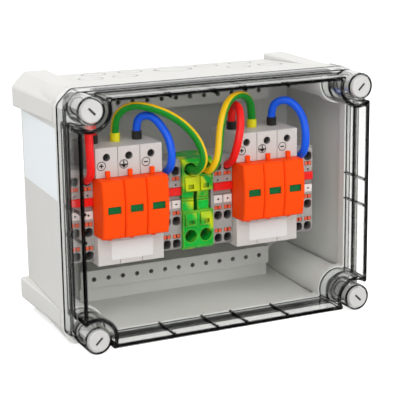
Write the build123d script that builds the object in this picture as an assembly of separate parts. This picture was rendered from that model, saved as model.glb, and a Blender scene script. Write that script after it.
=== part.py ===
from build123d import *
import os
from math import radians, sqrt, tan

# A DC combiner box with surge protection: a grey moulded case with a clear cover, two three-pole
# surge arresters with plug-in modules, push-in terminals and the wires between them.
# Frame: origin at the centre of the wall face, +X right, +Y into the wall, +Z up, millimetres.
# A depth is a distance in front of the wall, so depth d lies at y = -d.

# ---- case
case_width = 239.4            # outside of the walls, at the wall face
case_height = 183.4
case_depth = 98.0             # wall face to the rim that carries the cover
case_draft = 2.9              # degrees, the walls open towards the rim
case_corner = 6.0
wall = 3.0
floor_wall = 3.5
rim_depth = 14.0              # the rim stands proud round the corners only
rim_proud = 1.2
rim_reach_x = 14.0            # how far it runs along the top and the bottom from the corner
rim_reach_z = 25.5            # and along the sides
rim_cut = 11.0                # the corners are cut off at 45 degrees and then rounded
rim_corner = 7.0
rim_groove = 0.8
lip_inset = 3.6               # the sealing lip stands this far inside the window's outer line
lip_depth = 8.0

# ---- corner pillars and the wells inside them
pillar_proud_x = 6.7          # past the walls, at the wall face
pillar_proud_z = 5.0
pillar_width = 30.0
pillar_height = 27.0
pillar_chamfer = 10.5
pillar_corner = 5.0
pillar_edge = 2.0
pillar_draft = 1.3
knob_inset_x = 14.7           # from the cover's edge to the knob axes, which are also the wall fixing centres
knob_inset_z = 12.2
column_radius = 15.2
well_radius = 8.2
fixing_radius = 2.65          # clearance for a 5 mm wall screw
fixing_web = 8.0
rail_bore_floor = 3.0         # plastic left behind a rail screw

# ---- moulded ledges, with a row of screw holes, and knock-outs
ledge_length = 168.0
ledge_end_wall = 3.0
ledge_top_wall = 6.0
ledge_inner_z = 63.5
ledge_strip = 14.9
ledge_depth = 26.0
ledge_step = 4.0
ledge_hole_radius = 1.9
ledge_pitch = 12.5
ledge_holes = 13
ledge_hole_depth = 8.0
knockout_radius = 10.0
knockout_mark = 0.6
knockout_rows = ((17.0, (-64.6, -33.4, 33.4, 64.6)), (45.5, (-77.7, -49.1, 49.1, 77.7)))
hub_radius = 15.5
hub_depth = 26.0
hub_pip_radius = 2.6
hub_pip_offset = 14.5

# ---- clear cover
joint_gap = 0.3               # between the rim and the cover's edge
cover_rise = 33.0             # from the rim to the front of the window
cover_wall = 2.6
front_wall = 2.8
skirt_inset = 0.15            # from the rim's outside
skirt_rise = 12.0
skirt_draft = 7.0
window_inset_x = 5.0
window_inset_z = 3.5
window_notch = 13.6
window_edge = 1.2
window_corner = 1.6
collar_radius = 10.6
collar_bore = 9.1
rib_x = (12.5, 48.5)
rib_z = (10.5,)
rib_width = 1.2
rib_height = 1.4
gasket_width = 2.2
gasket_depth = 2.7

# ---- quarter-turn knobs
knob_proud = 2.0              # in front of the window
knob_head_radius = 8.2
knob_head_length = 7.5
knob_head_edge = 0.6
knob_stem_radius = 6.0
knob_fit = 0.08               # radial running fit of the stem in the cover's web
knob_clearance = 0.4
knob_slot_width = 1.6
knob_slot_length = 7.0
knob_slot_depth = 3.0
knob_bead = 0.9
knob_angle = 45.0             # slots and lugs point at the middle of the box
bayonet_radius = 4.5
lug_reach = 6.8
lug_width = 3.6
lug_length = 3.0
stem_nose = 2.0
insert_sunk = 2.0             # behind the rim
insert_length = 8.0
insert_bore = 5.0

# ---- rail
rail_z = 5.2                  # height of the rail's centre line
rail_width = 35.0
rail_depth = 15.0
rail_sheet = 1.5
rail_web = 24.0
rail_left = -113.0
rail_right = 95.5
boss_x = (-70.0, 0.0, 70.0)
boss_size = 22.0
rail_slot = 15.0
rail_screw_radius = 2.0
rail_screw_head = 3.8
rail_screw_height = 2.4
rail_screw_edge = 0.7
rail_screw_slot = 1.0
rail_screw_tip = 2.0          # short of the bore's end
screw_fit = 0.02

# ---- surge arresters
module_pitch = 17.83
poles = 3
arrester_left = (-95.4, 20.8)  # left face of each arrester
arrester_height = 90.0
shoulder_depth = 95.4
arrester_depth = 65.4         # from the shoulders to the back of the rail
recess_drop = 33.4            # from the shoulders to the bottom of the module bay
module_height = 45.0
module_rise = 13.9            # from the shoulders to the modules' front
module_crown = 2.8            # the front face bulges this much between its ends
module_gap = 0.2              # to each neighbour
module_edge = 1.0
tab_width = 3.0
tab_up = 5.4
tab_down = 3.0
tab_thick = 2.6
tab_gap = 0.3
screw_hole_radius = 2.95
screw_hole_depth = 6.0
screw_below_top = 7.4
screw_disc = 1.5
screw_play = 0.05
screw_slot = (1.0, 0.8, 4.0)  # width, depth and length
seam_width = 0.4              # between the poles, on the shoulders
seam_depth = 0.5
entry_offset = -2.5           # wire entry from the pole's centre
entry_drop = 20.9             # from the shoulders
entry_radius = 3.2
entry_bore = 9.0
blade_width = 6.0
blade_thick = 1.0
blade_length = 13.5
blade_spread = 12.0
contact_slot = 3.2
contact_width = 7.0
contact_leaf = 0.5
contact_gap = 0.3
contact_play = 0.1
contact_sunk = 1.0
contact_length = 16.0
claw_stand = 7.8              # from the back of the rail to the back of the parts that grip it
foot_stand = 20.0
foot_rise = 8.0
claw_reach = 3.0
claw_grip = 2.0               # how far a claw reaches behind the rail's lip
claw_hook = 2.5
rail_play = 0.2               # between a claw and the rail's sheet
rail_clearance = 0.3          # between a claw and the rail's edge
window_z = 5.5                # centre of the status window
window_wide = 10.4
window_tall = 5.6
flag_width = 11.4
flag_height = 11.4
flag_thick = 1.2
flag_travel = 5.0
flag_cover = 0.9              # plastic in front of the flag
flag_play = 0.3

# ---- foot latches of the arresters
latch_width = 15.0
latch_thick = 4.2
latch_length = 29.0
latch_hook = 1.6
latch_eye = (6.0, 1.6)
latch_eye_rise = 2.5
latch_play = 0.3

# ---- push-in terminals
terminal_width = 8.2
terminal_top = 33.5
terminal_bottom = -37.9
terminal_drop = 7.4           # from the arresters' shoulders to the terminals' front
waist_stand = 30.0            # behind this the terminals narrow towards the rail
terminal_chamfer = 2.5
end_plate = 2.0
hole_width = 6.6
hole_height = 7.0
hole_corner = 2.6
hole_depth = 12.0
hole_z = (24.9, -14.5, -32.7)
pusher_z = (19.0, -8.2, -26.7)
pusher_width = 5.6
pusher_height = 2.7
pusher_length = 8.0
pusher_play = 0.3
pusher_travel = 1.3
probe_z = 13.9
probe_radius = 0.8
probe_depth = 3.0
tag_dimple = 0.6
pusher_slot = (1.0, 1.5)      # width and depth
bridge_z = 8.8
bridge_height = 6.3
bridge_proud = 1.5
bridge_slot = 8.0
bridge_leg = 2.0
bridge_play = 0.1
bridge_edge = 0.6
tag_channel = 3.6
tag_channel_depth = 2.0
tag_z = -1.3
tag_height = 6.0
tag_width = 6.8
tag_thick = 1.2
tag_proud = 0.4

# ---- earth terminals
earth_width = 12.8
earth_drop = 3.4
earth_hole_radius = 5.1
earth_hole_z = (26.0, -27.0)
earth_hole_depth = 16.0
earth_levers = ((14.4, 11.0), (-13.7, 10.2))   # height of the middle and size of each lever
earth_slope = (4.2, 1.2)      # the levers' upper edge falls back: down and in
earth_pusher_width = 9.0
earth_pusher_length = 9.0
earth_pusher_proud = 1.5
earth_tool = (5.0, 3.4)
earth_tool_depth = 2.0
earth_waist = (-7.2, 8.2)     # the middle stands back between these heights
earth_waist_drop = 1.4
earth_groove_z = (3.1, 0.9)
earth_groove = 0.8
earth_notch_width = 3.4       # and is cut away at one side
earth_notch_depth = 8.0

# ---- wires
wire_radius = 3.1
ferrule_radius = 3.9
ferrule_height = 6.5
ferrule_pin_radius = 2.4
ferrule_pin = 7.5


def wall_growth(depth):
    """How far the drafted walls have opened at a depth."""
    return depth * tan(radians(case_draft))


rim_back = case_depth - rim_depth
rim_width = case_width + 2 * (wall_growth(rim_back) + rim_proud)
rim_height = case_height + 2 * (wall_growth(rim_back) + rim_proud)
skirt_width = rim_width - 2 * skirt_inset
skirt_height = rim_height - 2 * skirt_inset
window_width = skirt_width - 2 * window_inset_x
window_height = skirt_height - 2 * window_inset_z
knob_span_x = skirt_width - 2 * knob_inset_x
knob_span_z = skirt_height - 2 * knob_inset_z
skirt_front = case_depth + skirt_rise
cover_depth = case_depth + cover_rise
knob_front = cover_depth + knob_proud
insert_front = case_depth - insert_sunk
recess_depth = shoulder_depth - recess_drop
contact_bottom = recess_depth - contact_length
module_front = shoulder_depth + module_rise
entry_depth = shoulder_depth - entry_drop
terminal_front = shoulder_depth - terminal_drop
earth_front = shoulder_depth - earth_drop
arrester_width = poles * module_pitch
arrester_top = rail_z + arrester_height / 2
arrester_bottom = rail_z - arrester_height / 2
rail_back = shoulder_depth - arrester_depth     # the rail stands on bosses of this depth
rail_front = rail_back + rail_depth
claw_back = rail_back + claw_stand
foot_depth = rail_back + foot_stand
terminal_waist = rail_back + waist_stand
joint = case_depth + joint_gap
knob_x = knob_span_x / 2
knob_z = knob_span_z / 2
corners = {"tl": (-1, 1), "tr": (1, 1), "bl": (-1, -1), "br": (1, -1)}


def front(depth):
    """The plane at a depth in front of the wall, facing the viewer."""
    return Plane.XZ.offset(depth)


def slab(outline, back, face, taper=0.0):
    """An outline in x and z, from one depth to another."""
    return extrude(front(back) * outline, amount=face - back, taper=taper)


def block(x0, x1, back, face, z0, z1):
    return slab(Pos((x0 + x1) / 2, (z0 + z1) / 2) * Rectangle(x1 - x0, z1 - z0), back, face)


def disc(x, z, radius, back, face):
    return slab(Pos(x, z) * Circle(radius), back, face)


def side_slab(points, x0, x1):
    """A side outline of (depth, z) points, from one x to another."""
    outline = Polygon(*[(-depth, z) for depth, z in points], align=None)
    return extrude(Plane.YZ.offset(x0) * outline, amount=x1 - x0, dir=(1, 0, 0))


def cut_corners(inset):
    """The outline of the rim and the cover, drawn in by an inset, with its corners cut off and rounded."""
    shape = Rectangle(rim_width - 2 * inset, rim_height - 2 * inset)
    shape = chamfer(shape.vertices(), rim_cut - (2 - sqrt(2)) * inset)
    return fillet(shape.vertices(), rim_corner - inset)


def notched(inset, notch):
    """The window's outline, drawn in by an inset, with a round notch about each knob."""
    shape = Rectangle(window_width - 2 * inset, window_height - 2 * inset)
    for side, rise in corners.values():
        shape -= Pos(side * knob_x, rise * knob_z) * Circle(notch)
    return fillet(shape.vertices(), window_corner)


# ---------------------------------------------------------------- case

def pillar(side, rise):
    """One corner pillar: its outer corner is cut off and rounded, and it narrows towards the rim."""
    outline = Rectangle(pillar_width, pillar_height)
    outer = outline.vertices().sort_by(Axis.Y)[-2:].sort_by(Axis.X)[-1:]
    outline = chamfer(outer, pillar_chamfer)
    upper = outline.vertices().group_by(Axis.Y)[-1]
    right = outline.vertices().group_by(Axis.X)[-1]
    outline = fillet([upper.sort_by(Axis.X)[-1], right.sort_by(Axis.Y)[-1]], pillar_corner)
    top_left = outline.vertices().sort_by(lambda v: v.X - v.Y)[0]
    low_right = outline.vertices().sort_by(lambda v: v.Y - v.X)[0]
    outline = fillet([top_left, low_right], pillar_edge)
    centre_x = case_width / 2 + pillar_proud_x - pillar_width / 2
    centre_z = case_height / 2 + pillar_proud_z - pillar_height / 2
    shape = slab(Pos(centre_x, centre_z) * outline, 0, rim_back + rim_groove, pillar_draft)
    if side < 0:
        shape = mirror(shape, about=Plane.YZ)
    if rise < 0:
        shape = mirror(shape, about=Plane.XY)
    return shape


def case_body():
    """The drafted walls, the pillars and the rim, still solid."""
    body = slab(RectangleRounded(case_width, case_height, case_corner), 0, case_depth, -case_draft)
    for side, rise in corners.values():
        body += pillar(side, rise)
    between = Rectangle(rim_width - 2 * rim_reach_x, rim_height)
    between += Rectangle(rim_width, rim_height - 2 * rim_reach_z)
    rim = cut_corners(0) - between
    body += slab(rim, rim_back, case_depth)
    groove = rim - cut_corners(rim_groove)
    middle = case_depth - rim_depth / 2
    return body - slab(groove, middle - rim_groove / 2, middle + rim_groove / 2)


def case_cavity():
    """The hollow of the case, up to the lip that carries the gasket."""
    lip_back = case_depth - lip_depth
    start = floor_wall
    grown = wall_growth(start)
    low = RectangleRounded(case_width + 2 * (grown - wall), case_height + 2 * (grown - wall), case_corner)
    hollow = slab(low, start, lip_back, -case_draft)
    opening = notched(lip_inset, window_notch + lip_inset)
    for side, rise in corners.values():
        hollow -= disc(side * knob_x, rise * knob_z, column_radius, start, lip_back)
        across = Rectangle(2 * column_radius, column_radius)
        upright = Rectangle(column_radius, 2 * column_radius)
        tie = Pos(side * (knob_x + column_radius), rise * knob_z) * across
        tie += Pos(side * knob_x, rise * (knob_z + column_radius)) * upright
        hollow -= slab(tie, start, lip_back)
    return hollow + slab(opening, lip_back, case_depth)


def ledge_coring(rise):
    """The hollow behind a ledge, open to the wall, that keeps its walls even."""
    half = ledge_length / 2 - ledge_end_wall
    z0, z1 = sorted((rise * (ledge_inner_z + ledge_end_wall), rise * (case_height / 2 - ledge_top_wall)))
    return block(-half, half, 0, ledge_depth - ledge_hole_depth, z0, z1)


def ledge(rise, cavity):
    """One moulded ledge: a cored block up to the wall, a raised strip and its row of screw holes."""
    outer_z = case_height / 2
    half = ledge_length / 2
    z0, z1 = sorted((rise * ledge_inner_z, rise * outer_z))
    s0, s1 = sorted((rise * ledge_inner_z, rise * (ledge_inner_z + ledge_strip)))
    body = block(-half, half, floor_wall, ledge_depth, z0, z1)
    body += block(-half, half, ledge_depth, ledge_depth + ledge_step, s0, s1)
    face = ledge_depth + ledge_step
    row = GridLocations(ledge_pitch, 0, ledge_holes, 1)
    middle = Pos(0, (s0 + s1) / 2)
    holes = [middle * place * Circle(ledge_hole_radius) for place in row]
    body -= slab(Sketch() + holes, face - ledge_hole_depth, face)
    return (body & cavity) - ledge_coring(rise)


def knockouts(rise):
    """Shallow round marks of the knock-outs in the top or the bottom wall."""
    marks = []
    for depth, places in knockout_rows:
        marks += [(x, depth, knockout_radius) for x in places]
    marks.append((0, hub_depth, hub_radius))
    marks += [(x, hub_depth, hub_pip_radius) for x in (-hub_pip_offset, hub_pip_offset)]
    cut = []
    for x, depth, radius in marks:
        surface = case_height / 2 + wall_growth(depth)
        slope = Rot(-rise * case_draft, 0, 0)
        ring = Circle(radius) - Circle(radius - 2 * knockout_mark)
        mark = extrude(ring, amount=knockout_mark, both=True)
        cut.append(Pos(x, -depth, rise * surface) * slope * mark)
    return cut


def case_moulding(cavity):
    """Floor, walls, corners and wells, without the ledges."""
    body = case_body() - cavity
    for rise in (1, -1):
        body -= ledge_coring(rise)
        body -= knockouts(rise)
    bosses = [Pos(x, rail_z) * Rectangle(boss_size, boss_size) for x in boss_x]
    body += slab(Sketch() + bosses, floor_wall, rail_back)
    body -= [disc(x, rail_z, rail_screw_radius, floor_wall + rail_bore_floor, rail_back) for x in boss_x]
    for side, rise in corners.values():
        x, z = side * knob_x, rise * knob_z
        body -= disc(x, z, well_radius, fixing_web, case_depth)
        body -= disc(x, z, fixing_radius, 0, fixing_web)
    groove = notched(0, window_notch) - notched(gasket_width, window_notch + gasket_width)
    return body - slab(groove, joint - gasket_depth, case_depth)


def corner_zone(side, rise):
    """The space of one corner of the case, with its pillar, its column and its well."""
    x0, x1 = sorted((side * (knob_x - column_radius), side * case_width))
    z0, z1 = sorted((rise * (knob_z - column_radius), rise * case_height))
    return block(x0, x1, 0, case_depth, z0, z1)


def gasket():
    ring = notched(0, window_notch) - notched(gasket_width, window_notch + gasket_width)
    return slab(ring, joint - gasket_depth, joint)


def knob_insert(side, rise):
    """A bayonet ring in the mouth of a well: the knob's lugs pass its notches and turn behind it."""
    x, z = side * knob_x, rise * knob_z
    back = insert_front - insert_length
    ring = Circle(well_radius) - Circle(insert_bore)
    notch = Rectangle(2 * lug_reach + 2 * knob_clearance, lug_width + 2 * knob_clearance)
    ring -= Rot(0, 0, knob_angle * side * rise) * notch
    return slab(Pos(x, z) * ring, back, insert_front)


# ---------------------------------------------------------------- cover

def cover():
    """Clear cover: a skirt on the rim, a raised window and a collar round each knob."""
    body = slab(cut_corners(skirt_inset), joint, skirt_front, skirt_draft)
    body -= slab(cut_corners(skirt_inset + cover_wall), joint, skirt_front - cover_wall, skirt_draft)
    raised = slab(notched(0, window_notch), joint, cover_depth)
    rim_edges = raised.faces().sort_by(Axis.Y)[0].edges()
    body += chamfer(rim_edges, window_edge)
    body -= slab(notched(cover_wall, window_notch + cover_wall), joint, cover_depth - front_wall)
    for side, rise in corners.values():
        x, z = side * knob_x, rise * knob_z
        web = skirt_front - cover_wall
        body += disc(x, z, collar_radius, web, cover_depth)
        body -= disc(x, z, collar_bore, skirt_front, cover_depth)
        body -= disc(x, z, knob_stem_radius + knob_fit, web, skirt_front)
    inner_x = window_width / 2 - cover_wall
    inner_z = window_height / 2 - cover_wall
    front_inside = cover_depth - front_wall
    for side in (-1, 1):
        for x in rib_x:
            for rise in (-1, 1):
                z0, z1 = sorted((rise * inner_z, rise * (inner_z - rib_height)))
                body += block(side * x - rib_width / 2, side * x + rib_width / 2, joint, front_inside, z0, z1)
        for z in rib_z:
            for end in (-1, 1):
                x0, x1 = sorted((side * inner_x, side * (inner_x - rib_height)))
                body += block(x0, x1, joint, front_inside, end * z - rib_width / 2, end * z + rib_width / 2)
    return body


def knob(side, rise):
    """Slotted head, stem and bayonet lugs, turned as one piece."""
    x, z = side * knob_x, rise * knob_z
    head_back = knob_front - knob_head_length
    web = skirt_front - cover_wall
    bead_front = web - knob_clearance
    insert_back = insert_front - insert_length
    body = disc(0, 0, knob_head_radius, head_back, knob_front)
    body = chamfer(body.faces().sort_by(Axis.Y)[0].edges(), knob_head_edge)
    body += disc(0, 0, knob_stem_radius, web - knob_clearance, head_back)
    body += disc(0, 0, knob_stem_radius + knob_bead, bead_front - 2 * knob_bead, bead_front)
    lug_back = insert_back - knob_clearance - lug_length
    body += disc(0, 0, bayonet_radius, lug_back - stem_nose, bead_front)
    body += slab(Rectangle(2 * lug_reach, lug_width), lug_back, lug_back + lug_length)
    slot = Rectangle(knob_slot_length, knob_slot_width)
    body -= slab(slot, knob_front - knob_slot_depth, knob_front)
    body = body.rotate(Axis.Y, -knob_angle * side * rise)
    return Pos(x, 0, z) * body


# ---------------------------------------------------------------- rail

def din_rail():
    """Top-hat rail, with a slot over each boss."""
    half = rail_width / 2
    web = rail_web / 2
    t = rail_sheet
    points = [
        (rail_front, half), (rail_front, web - t), (rail_back + t, web - t),
        (rail_back + t, t - web), (rail_front, t - web), (rail_front, -half),
        (rail_front - t, -half), (rail_front - t, -web), (rail_back, -web),
        (rail_back, web), (rail_front - t, web), (rail_front - t, half),
    ]
    rail = side_slab([(depth, rail_z + z) for depth, z in points], rail_left, rail_right)
    slots = [Pos(x, rail_z) * SlotOverall(rail_slot, 2 * rail_screw_radius + 1) for x in boss_x]
    return rail - slab(Sketch() + slots, rail_back, rail_back + t)


def rail_screw(x):
    seat = rail_back + rail_sheet
    face = seat + rail_screw_height
    half = rail_screw_slot / 2
    body = disc(x, rail_z, rail_screw_radius - screw_fit, floor_wall + rail_bore_floor + rail_screw_tip, seat)
    head = disc(x, rail_z, rail_screw_head, seat, face)
    head = chamfer(head.faces().sort_by(Axis.Y)[0].edges(), rail_screw_edge)
    head -= block(x - rail_screw_head, x + rail_screw_head, face - rail_screw_slot, face,
                  rail_z - half, rail_z + half)
    return body + head


# ---------------------------------------------------------------- surge arresters

def pole_x(left, pole):
    return left + module_pitch * (pole + 0.5)


def arrester_base(left):
    """C-shaped base: shoulders above and below the modules, claws for the rail behind."""
    lip = rail_width / 2
    behind = rail_front - rail_sheet - rail_play
    half = arrester_height / 2
    bay = module_height / 2
    hook = behind - claw_hook
    points = [
        (shoulder_depth, half), (shoulder_depth, bay), (recess_depth, bay),
        (recess_depth, -bay), (shoulder_depth, -bay), (shoulder_depth, -half),
        (foot_depth, -half), (claw_back, foot_rise - half), (claw_back, -lip - claw_reach),
        (rail_front, -lip - claw_reach), (rail_front, lip + rail_clearance), (behind, lip + rail_clearance),
        (behind, lip - claw_grip), (hook, lip - claw_grip), (claw_back, lip),
        (claw_back, half - 2 * foot_rise), (foot_depth, half - foot_rise), (foot_depth + claw_grip, half),
    ]
    right = left + arrester_width
    body = side_slab([(depth, rail_z + z) for depth, z in points], left, right)
    middle = (left + right) / 2
    half_latch = latch_width / 2 + latch_play
    body -= block(middle - half_latch, middle + half_latch, rail_front - latch_thick - 2 * latch_play,
                  rail_front, rail_z - half - foot_rise, rail_z - lip)
    for pole in range(poles):
        x = pole_x(left, pole)
        z = arrester_top - screw_below_top
        body -= disc(x, z, screw_hole_radius, shoulder_depth - screw_hole_depth, shoulder_depth)
        entry = Cylinder(entry_radius, entry_bore, align=(Align.CENTER, Align.CENTER, Align.MAX))
        body -= Pos(x + entry_offset, -entry_depth, arrester_top) * entry
        for row in (-1, 1):
            z = rail_z + row * blade_spread
            body -= block(x - contact_width / 2 - contact_gap, x + contact_width / 2 + contact_gap,
                          contact_bottom, recess_depth, z - contact_slot / 2, z + contact_slot / 2)
    for pole in range(1, poles):
        x = left + module_pitch * pole
        x0, x1 = x - seam_width / 2, x + seam_width / 2
        for z0, z1 in ((rail_z + bay, arrester_top), (arrester_bottom, rail_z - bay)):
            body -= block(x0, x1, shoulder_depth - seam_depth, shoulder_depth, z0, z1)
    return body


def contact_clips(left):
    """Sprung U-shaped clips that grip the modules' blades."""
    clips = []
    reach = contact_slot / 2 - contact_play
    face = recess_depth - contact_sunk
    for pole in range(poles):
        x = pole_x(left, pole)
        for row in (-1, 1):
            z = rail_z + row * blade_spread
            points = [
                (contact_bottom, -reach), (face, -reach),
                (face, contact_leaf - reach), (contact_bottom + contact_leaf, contact_leaf - reach),
                (contact_bottom + contact_leaf, reach - contact_leaf), (face, reach - contact_leaf),
                (face, reach), (contact_bottom, reach),
            ]
            clips.append(side_slab([(depth, z + rise) for depth, rise in points],
                                   x - contact_width / 2, x + contact_width / 2))
    return clips


def terminal_screw(x):
    z = arrester_top - screw_below_top
    back = shoulder_depth - screw_hole_depth
    face = back + screw_disc
    wide, deep, long = screw_slot
    head = disc(x, z, screw_hole_radius - screw_play, back, face)
    return head - block(x - wide / 2, x + wide / 2, face - deep, face, z - long / 2, z + long / 2)


def plug_module(x):
    """Plug-in module: rounded shell with a status window and a latch tab at each end."""
    half = module_pitch / 2 - module_gap
    bay = module_height / 2 - tab_gap
    back = recess_depth + tab_gap
    body = block(x - half, x + half, back, module_front, rail_z - bay, rail_z + bay)
    bend = (bay * bay + module_crown * module_crown) / (2 * module_crown)
    crown = Cylinder(bend, 2 * module_pitch).rotate(Axis.Y, 90)
    body &= Pos(x, bend - module_front, rail_z) * crown
    body = chamfer(body.faces().sort_by(Axis.Y)[0].edges(), module_edge)
    tab_back = shoulder_depth + tab_gap
    body += block(x - tab_width / 2, x + tab_width / 2, tab_back, tab_back + tab_thick,
                  rail_z - bay - tab_down, rail_z + bay + tab_up)
    pocket_front = module_front - flag_cover
    pocket_back = pocket_front - flag_thick - 2 * flag_play
    low = window_z + window_tall / 2 - flag_height - flag_play
    high = window_z + window_tall / 2 + flag_travel + flag_play
    body -= block(x - flag_width / 2 - flag_play, x + flag_width / 2 + flag_play,
                  pocket_back, pocket_front, low, high)
    return body - block(x - window_wide / 2, x + window_wide / 2, pocket_back, module_front,
                        window_z - window_tall / 2, window_z + window_tall / 2)


def module_blades(x):
    back = recess_depth + tab_gap
    blades = []
    for row in (-1, 1):
        z = rail_z + row * blade_spread
        blades.append(block(x - blade_width / 2, x + blade_width / 2, back - blade_length, back,
                            z - blade_thick / 2, z + blade_thick / 2))
    return blades


def status_flag(x):
    """Two-colour flag behind the window: it slides up to show its lower half when the module fails."""
    top = window_z + window_tall / 2
    face = module_front - flag_cover - flag_play
    return block(x - flag_width / 2, x + flag_width / 2, face - flag_thick, face, top - flag_height, top)


def rail_latch(left):
    """Spring foot that hooks behind the rail's lower lip and is pulled down to let go."""
    middle = left + arrester_width / 2
    lip = rail_width / 2
    face = rail_front - latch_play
    back = face - latch_thick
    nose = rail_front - rail_sheet - rail_play
    points = [
        (face, -lip - rail_clearance), (nose, -lip - rail_clearance), (nose, latch_hook - lip),
        (nose - latch_hook, latch_hook - lip), (back, -lip - rail_clearance), (back, -lip - latch_length),
        (face, -lip - latch_length),
    ]
    body = side_slab([(depth, rail_z + z) for depth, z in points],
                     middle - latch_width / 2, middle + latch_width / 2)
    eye = rail_z - lip - latch_length + latch_eye_rise
    wide, tall = latch_eye
    return body - block(middle - wide / 2, middle + wide / 2, back, face, eye - tall / 2, eye + tall / 2)


# ---------------------------------------------------------------- terminals

def terminal_profile(face):
    """Side outline of a rail terminal, with its claws on the rail."""
    lip = rail_width / 2
    behind = rail_front - rail_sheet - rail_play
    upper = rail_z + lip
    lower = rail_z - lip
    top, low, cut = terminal_top, terminal_bottom, terminal_chamfer
    return [
        (face - cut, top), (face, top - cut), (face, low + cut), (face - cut, low),
        (terminal_waist, low), (foot_depth, lower - foot_rise), (claw_back, lower - claw_reach),
        (claw_back, lower + claw_grip), (behind, lower + claw_grip), (behind, lower - rail_clearance),
        (rail_front, lower - rail_clearance), (rail_front, upper + rail_clearance),
        (behind, upper + rail_clearance), (behind, upper - claw_grip), (claw_back, upper - claw_grip),
        (claw_back, upper + claw_reach), (foot_depth, upper + foot_rise), (terminal_waist, top),
    ]


def terminal(x):
    """One push-in terminal, x at its left face."""
    body = side_slab(terminal_profile(terminal_front), x, x + terminal_width)
    middle = x + terminal_width / 2
    holes = [Pos(middle, z) * RectangleRounded(hole_width, hole_height, hole_corner) for z in hole_z]
    body -= slab(Sketch() + holes, terminal_front - hole_depth, terminal_front)
    body -= disc(middle, probe_z, probe_radius, terminal_front - probe_depth, terminal_front)
    half = pusher_width / 2 + pusher_play
    for z in pusher_z:
        reach = pusher_height / 2 + pusher_play
        body -= block(middle - half, middle + half,
                      terminal_front - pusher_length - pusher_travel - pusher_play, terminal_front,
                      z - reach, z + reach)
    bar = bridge_height / 2 + bridge_play
    body -= block(x, x + terminal_width, terminal_front - bridge_slot, terminal_front,
                  bridge_z - bar, bridge_z + bar)
    body -= block(x, x + terminal_width, terminal_front - tag_channel_depth, terminal_front,
                  bridge_z - bar - tag_channel, bridge_z - bar)
    return body - block(middle - tag_width / 2, middle + tag_width / 2,
                        terminal_front + tag_proud - tag_thick, terminal_front,
                        tag_z - tag_height / 2, tag_z + tag_height / 2)


def pushers(x):
    """Orange release pushers of one terminal, each with a screwdriver slot."""
    middle = x + terminal_width / 2
    keys = []
    for z in pusher_z:
        key = block(middle - pusher_width / 2, middle + pusher_width / 2,
                    terminal_front - pusher_length, terminal_front,
                    z - pusher_height / 2, z + pusher_height / 2)
        wide, deep = pusher_slot
        keys.append(key - block(middle - wide / 2, middle + wide / 2, terminal_front - deep, terminal_front,
                                z - pusher_height / 2, z + pusher_height / 2))
    return keys


def bridge(x0, x1):
    """Plug-in bridge across neighbouring terminals."""
    back = terminal_front - bridge_slot
    bar = block(x0, x1, back + bridge_leg, terminal_front + bridge_proud,
                bridge_z - bridge_height / 2, bridge_z + bridge_height / 2)
    bar = chamfer(bar.faces().sort_by(Axis.Y)[0].edges(), bridge_edge)
    for x in (x0, x0 + terminal_width):
        middle = x + terminal_width / 2
        bar += block(middle - bridge_leg, middle + bridge_leg, back, back + bridge_leg,
                     bridge_z - bridge_leg, bridge_z + bridge_leg)
    return bar


def marker_tag(x):
    middle = x + terminal_width / 2
    face = terminal_front + tag_proud
    tag = block(middle - tag_width / 2, middle + tag_width / 2, face - tag_thick, face,
                tag_z - tag_height / 2, tag_z + tag_height / 2)
    return tag - disc(middle, tag_z, probe_radius, face - tag_dimple, face)


def plate(x):
    return side_slab(terminal_profile(terminal_front), x, x + end_plate)


def earth_terminal(x):
    """Green and yellow terminal, clamped to the rail, x at its left face."""
    body = side_slab(terminal_profile(earth_front), x, x + earth_width)
    middle = x + earth_width / 2
    holes = [Pos(middle, z) * Circle(earth_hole_radius) for z in earth_hole_z]
    body -= slab(Sketch() + holes, earth_front - earth_hole_depth, earth_front)
    half = earth_pusher_width / 2 + pusher_play
    back = earth_front - earth_pusher_length - pusher_travel - pusher_play
    for z, height in earth_levers:
        reach = height / 2 + pusher_play
        body -= block(middle - half, middle + half, back, earth_front, z - reach, z + reach)
    edge = x + earth_width
    waist = earth_front - earth_waist_drop
    body -= block(x, edge, waist, earth_front, *earth_waist)
    for z in earth_groove_z:
        body -= block(x, edge, waist - earth_groove, waist, z - earth_groove / 2, z + earth_groove / 2)
    return body - block(edge - earth_notch_width, edge, earth_front - earth_notch_depth, earth_front,
                        *earth_waist)


def earth_pushers(x):
    """Levers with a sloped upper edge and a recess for the tool."""
    middle = x + earth_width / 2
    half = earth_pusher_width / 2
    back = earth_front - earth_pusher_length
    face = earth_front + earth_pusher_proud
    down, inward = earth_slope
    tool_x, tool_z = earth_tool[0] / 2, earth_tool[1] / 2
    keys = []
    for z, height in earth_levers:
        top, low = z + height / 2, z - height / 2
        outline = [(back, low), (back, top), (face - inward, top), (face, top - down), (face, low)]
        key = side_slab(outline, middle - half, middle + half)
        eye = (low + top - down) / 2
        keys.append(key - block(middle - tool_x, middle + tool_x, face - earth_tool_depth, face,
                                eye - tool_z, eye + tool_z))
    return keys


# ---------------------------------------------------------------- wires

def ferrule(x):
    """Insulated sleeve on a wire's end, with its pin in the arrester."""
    sleeve = Cylinder(ferrule_radius, ferrule_height, align=(Align.CENTER, Align.CENTER, Align.MIN))
    pin = Cylinder(ferrule_pin_radius, ferrule_pin, align=(Align.CENTER, Align.CENTER, Align.MAX))
    return Pos(x + entry_offset, -entry_depth, arrester_top) * (sleeve + pin)


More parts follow.
